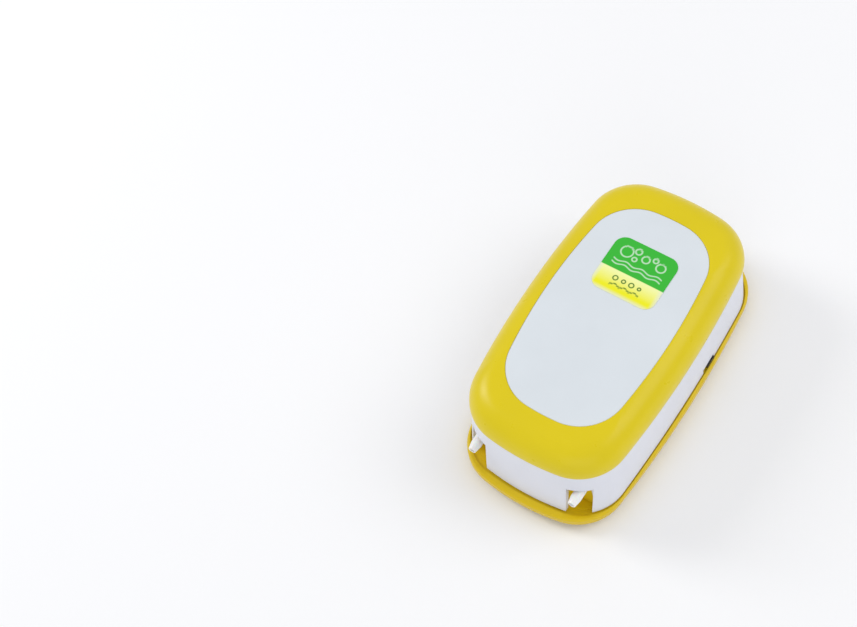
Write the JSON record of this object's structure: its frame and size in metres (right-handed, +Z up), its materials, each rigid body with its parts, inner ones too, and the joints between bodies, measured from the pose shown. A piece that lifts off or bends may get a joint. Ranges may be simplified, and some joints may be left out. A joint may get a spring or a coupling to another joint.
{
  "type": "aquarium air pump",
  "caption": "Low oval aquarium air pump: yellow base tray and lid ring, grey casing and top panel, outlet spouts in front bays, side speed slider, magnet arms inside.",
  "frame": {"origin": "centre of the footprint on the surface that the feet stand on", "axes": "+Z up, +Y from the outlet end towards the cord end, +X towards the side with the speed switch"},
  "size_m": [0.0844, 0.1616, 0.0584],
  "materials": {
    "tray_plastic": "gloss",
    "casing_plastic": "satin gloss",
    "lid_plastic": "gloss",
    "panel_plastic": "satin gloss",
    "label_film": "printed film",
    "outlet_plastic": "gloss",
    "knob_plastic": "satin",
    "foot_rubber": "matt",
    "gland_rubber": "matt",
    "hose_rubber": "matt",
    "diaphragm_rubber": "matt",
    "flap_rubber": "matt",
    "head_plastic": "moulded",
    "arm_plastic": "moulded",
    "ferrite": "sintered",
    "zinc_steel": "zinc plated",
    "core_steel": "stamped",
    "copper": "enamelled wire",
    "coil_tape_film": "film",
    "bobbin_plastic": "moulded",
    "bush_brass": "sintered",
    "board_laminate": "laminate",
    "lead_sleeve": "sleeve",
    "felt": "felt"
  },
  "bodies": {
    "housing": {"base_tray": "tray_plastic", "upper_casing": "casing_plastic", "bezel_ring": "lid_plastic", "top_panel": "panel_plastic", "badge_label": "label_film", "casing_screws": "zinc_steel", "cord_gland": "gland_rubber", "filter_pad": "felt", "filter_cover": "tray_plastic", "pivot_bridge": "zinc_steel", "pivot_bridge_screw": "zinc_steel", "core_laminations": "core_steel", "core_screws": "zinc_steel", "coil_bobbin": "bobbin_plastic", "coil_winding": "copper", "coil_tape": "coil_tape_film", "switch_board": "board_laminate", "switch_body": "knob_plastic", "power_diode": "knob_plastic", "coil_lead_a": "lead_sleeve", "coil_lead_b": "lead_sleeve", "supply_link": "lead_sleeve", "cord_terminal": "bobbin_plastic", "foot_front_right": "foot_rubber", "foot_front_left": "foot_rubber", "foot_rear_right": "foot_rubber", "foot_rear_left": "foot_rubber", "outlet_nozzle_right": "outlet_plastic", "outlet_nozzle_left": "outlet_plastic", "outlet_hose_right": "hose_rubber", "outlet_hose_left": "hose_rubber", "pump_chamber_right": "head_plastic", "pump_chamber_left": "head_plastic", "valve_cover_right": "head_plastic", "valve_cover_left": "head_plastic", "diaphragm_right": "diaphragm_rubber", "diaphragm_left": "diaphragm_rubber", "head_screws_right": "zinc_steel", "head_screws_left": "zinc_steel", "pivot_pin_right": "zinc_steel", "pivot_pin_left": "zinc_steel"},
    "arm_body_right": {"arm_right": "arm_plastic", "magnet_right": "ferrite", "pivot_bush_right": "bush_brass", "diaphragm_washers_right": "zinc_steel", "diaphragm_screw_right": "zinc_steel"},
    "inlet_flap_body_right": {"inlet_flap_right": "flap_rubber"},
    "outlet_flap_body_right": {"outlet_flap_right": "flap_rubber"},
    "arm_body_left": {"arm_left": "arm_plastic", "magnet_left": "ferrite", "pivot_bush_left": "bush_brass", "diaphragm_washers_left": "zinc_steel", "diaphragm_screw_left": "zinc_steel"},
    "inlet_flap_body_left": {"inlet_flap_left": "flap_rubber"},
    "outlet_flap_body_left": {"outlet_flap_left": "flap_rubber"},
    "knob_body": {"switch_knob": "knob_plastic"}
  },
  "joints": [
    {"name": "arm_right_swing", "type": "hinge", "parent": "housing", "child": "arm_body_right", "pos_m": [0.0075, -0.052, 0.027], "axis": [0, 0, 1], "range_deg": [-2.2, 2.2], "stiffness_Nm_per_rad": 0.5, "deforming": ["diaphragm_right"]},
    {"name": "arm_left_swing", "type": "hinge", "parent": "housing", "child": "arm_body_left", "pos_m": [-0.0075, -0.052, 0.027], "axis": [0, 0, 1], "range_deg": [-2.2, 2.2], "stiffness_Nm_per_rad": 0.5, "deforming": ["diaphragm_left"]},
    {"name": "inlet_flap_right_lift", "type": "hinge", "parent": "housing", "child": "inlet_flap_body_right", "pos_m": [0.0185, -0.016, 0.027], "axis": [0, 0, -1], "range_deg": [0, 10], "stiffness_Nm_per_rad": 0.00005},
    {"name": "outlet_flap_right_lift", "type": "hinge", "parent": "housing", "child": "outlet_flap_body_right", "pos_m": [0.021, -0.036, 0.027], "axis": [0, 0, -1], "range_deg": [0, 10], "stiffness_Nm_per_rad": 0.00005},
    {"name": "inlet_flap_left_lift", "type": "hinge", "parent": "housing", "child": "inlet_flap_body_left", "pos_m": [-0.0185, -0.016, 0.027], "axis": [0, 0, 1], "range_deg": [0, 10], "stiffness_Nm_per_rad": 0.00005},
    {"name": "outlet_flap_left_lift", "type": "hinge", "parent": "housing", "child": "outlet_flap_body_left", "pos_m": [-0.021, -0.036, 0.027], "axis": [0, 0, 1], "range_deg": [0, 10], "stiffness_Nm_per_rad": 0.00005},
    {"name": "switch_slide", "type": "slide", "parent": "housing", "child": "knob_body", "axis": [0, -1, 0], "range_m": [0, 0.003]}
  ],
  "couplings": [
    {"joint": "arm_left_swing", "follows": "arm_right_swing", "ratio": -1}
  ]
}
